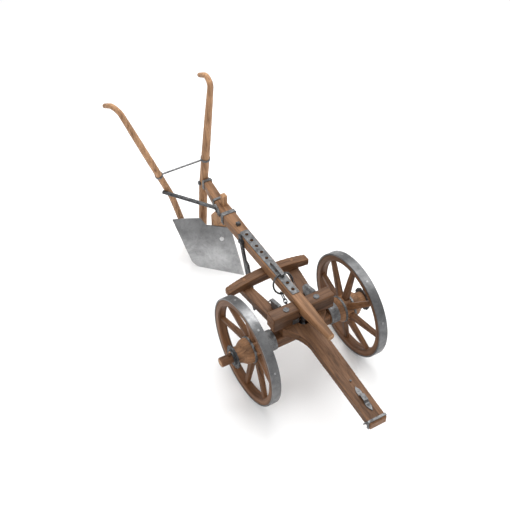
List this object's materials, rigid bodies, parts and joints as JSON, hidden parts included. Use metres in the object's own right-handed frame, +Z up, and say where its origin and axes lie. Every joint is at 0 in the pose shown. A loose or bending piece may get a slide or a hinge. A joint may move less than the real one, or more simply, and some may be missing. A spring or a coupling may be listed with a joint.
{
  "type": "wheeled mouldboard plough",
  "caption": "Old wooden plough: pierced beam, coulter, mouldboard and two bent stilts, carried at the front on a swivelling two-wheeled forecarriage with a pole.",
  "frame": {"origin": "on the ground, under the middle of the whole object's bounding box", "axes": "+Z up; -Y the way the plough travels, towards the pole's nose; +X the land side, -X the furrow side that the mouldboard turns the soil to"},
  "size_m": [0.9122, 1.698, 1.1591],
  "materials": {
    "beam_wood": "aged, oiled, streaky grain",
    "carriage_wood": "aged, darker, streaky grain",
    "wheel_wood": "aged, dark, worn",
    "tyre_iron": "worn bare iron",
    "plate_steel": "scoured, blotchy",
    "forged_iron": "dark forged, satin"
  },
  "bodies": {
    "plough": {"beam": "beam_wood", "beam_bolt": "forged_iron", "body_bolt": "forged_iron", "brace_nails": "forged_iron", "chain_end_ring": "forged_iron", "coulter_clamp": "forged_iron", "draught_chain": "forged_iron", "draught_ring": "forged_iron", "foot_rung": "beam_wood", "furrow_stilt": "beam_wood", "land_stilt": "beam_wood", "mouldboard": "plate_steel", "peg_beam_band": "forged_iron", "plate_nails": "forged_iron", "rear_beam_band": "forged_iron", "regulator_plate": "plate_steel", "share": "plate_steel", "sole": "beam_wood", "standard": "beam_wood", "stilt_bolt": "forged_iron", "stilt_brace": "forged_iron", "stilt_rod": "forged_iron", "wide_beam_band": "forged_iron"},
    "saddle": {"bolster": "carriage_wood", "bolster_bolts": "forged_iron", "bolster_brackets": "forged_iron", "king_strap": "forged_iron", "strap_nails": "forged_iron", "kingpin": "forged_iron"},
    "forecarriage": {"axle": "carriage_wood", "pole": "carriage_wood", "furrow_hound": "carriage_wood", "land_hound": "carriage_wood", "hound_pegs": "carriage_wood", "sway_bar": "carriage_wood", "sway_pegs": "carriage_wood", "chain_staple": "forged_iron", "pole_band": "forged_iron", "pole_nails": "forged_iron", "pole_spike": "forged_iron", "pole_staple": "forged_iron", "furrow_hub_washer": "forged_iron", "land_hub_washer": "forged_iron"},
    "furrow_wheel": {"furrow_felloes": "wheel_wood", "furrow_nave": "wheel_wood", "furrow_nave_bands": "forged_iron", "furrow_spokes": "wheel_wood", "furrow_tyre": "tyre_iron", "furrow_tyre_nails": "forged_iron"},
    "land_wheel": {"land_felloes": "wheel_wood", "land_nave": "wheel_wood", "land_nave_bands": "forged_iron", "land_spokes": "wheel_wood", "land_tyre": "tyre_iron", "land_tyre_nails": "forged_iron"},
    "furrow_linch": {"furrow_linch_pin": "carriage_wood"},
    "land_linch": {"land_linch_pin": "carriage_wood"},
    "regulator": {"regulator_pin": "forged_iron"},
    "knife": {"coulter": "forged_iron"}
  },
  "joints": [
    {"name": "beam_rock", "type": "hinge", "parent": "plough", "child": "saddle", "pos_m": [0.02512, -0.213, 0.408], "axis": [-1, 0, 0], "range_deg": [0, 6]},
    {"name": "carriage_swivel", "type": "hinge", "parent": "saddle", "child": "forecarriage", "pos_m": [0.02512, -0.236, 0.354], "axis": [0, 0, 1], "range_deg": [-10, 10]},
    {"name": "furrow_wheel_spin", "type": "hinge", "parent": "forecarriage", "child": "furrow_wheel", "pos_m": [-0.26488, -0.213, 0.27], "axis": [1, 0, 0], "continuous": true},
    {"name": "land_wheel_spin", "type": "hinge", "parent": "forecarriage", "child": "land_wheel", "pos_m": [0.31512, -0.213, 0.27], "axis": [1, 0, 0], "continuous": true},
    {"name": "furrow_linch_lift", "type": "slide", "parent": "forecarriage", "child": "furrow_linch", "axis": [0, 0, 1], "range_m": [0, 0.06]},
    {"name": "land_linch_lift", "type": "slide", "parent": "forecarriage", "child": "land_linch", "axis": [0, 0, 1], "range_m": [0, 0.06]},
    {"name": "regulator_pin_lift", "type": "slide", "parent": "plough", "child": "regulator", "axis": [0, 0, 1], "range_m": [0, 0.09]},
    {"name": "coulter_slide", "type": "slide", "parent": "plough", "child": "knife", "axis": [0, 0.3189, 0.9478], "range_m": [-0.03, 0.05]}
  ]
}
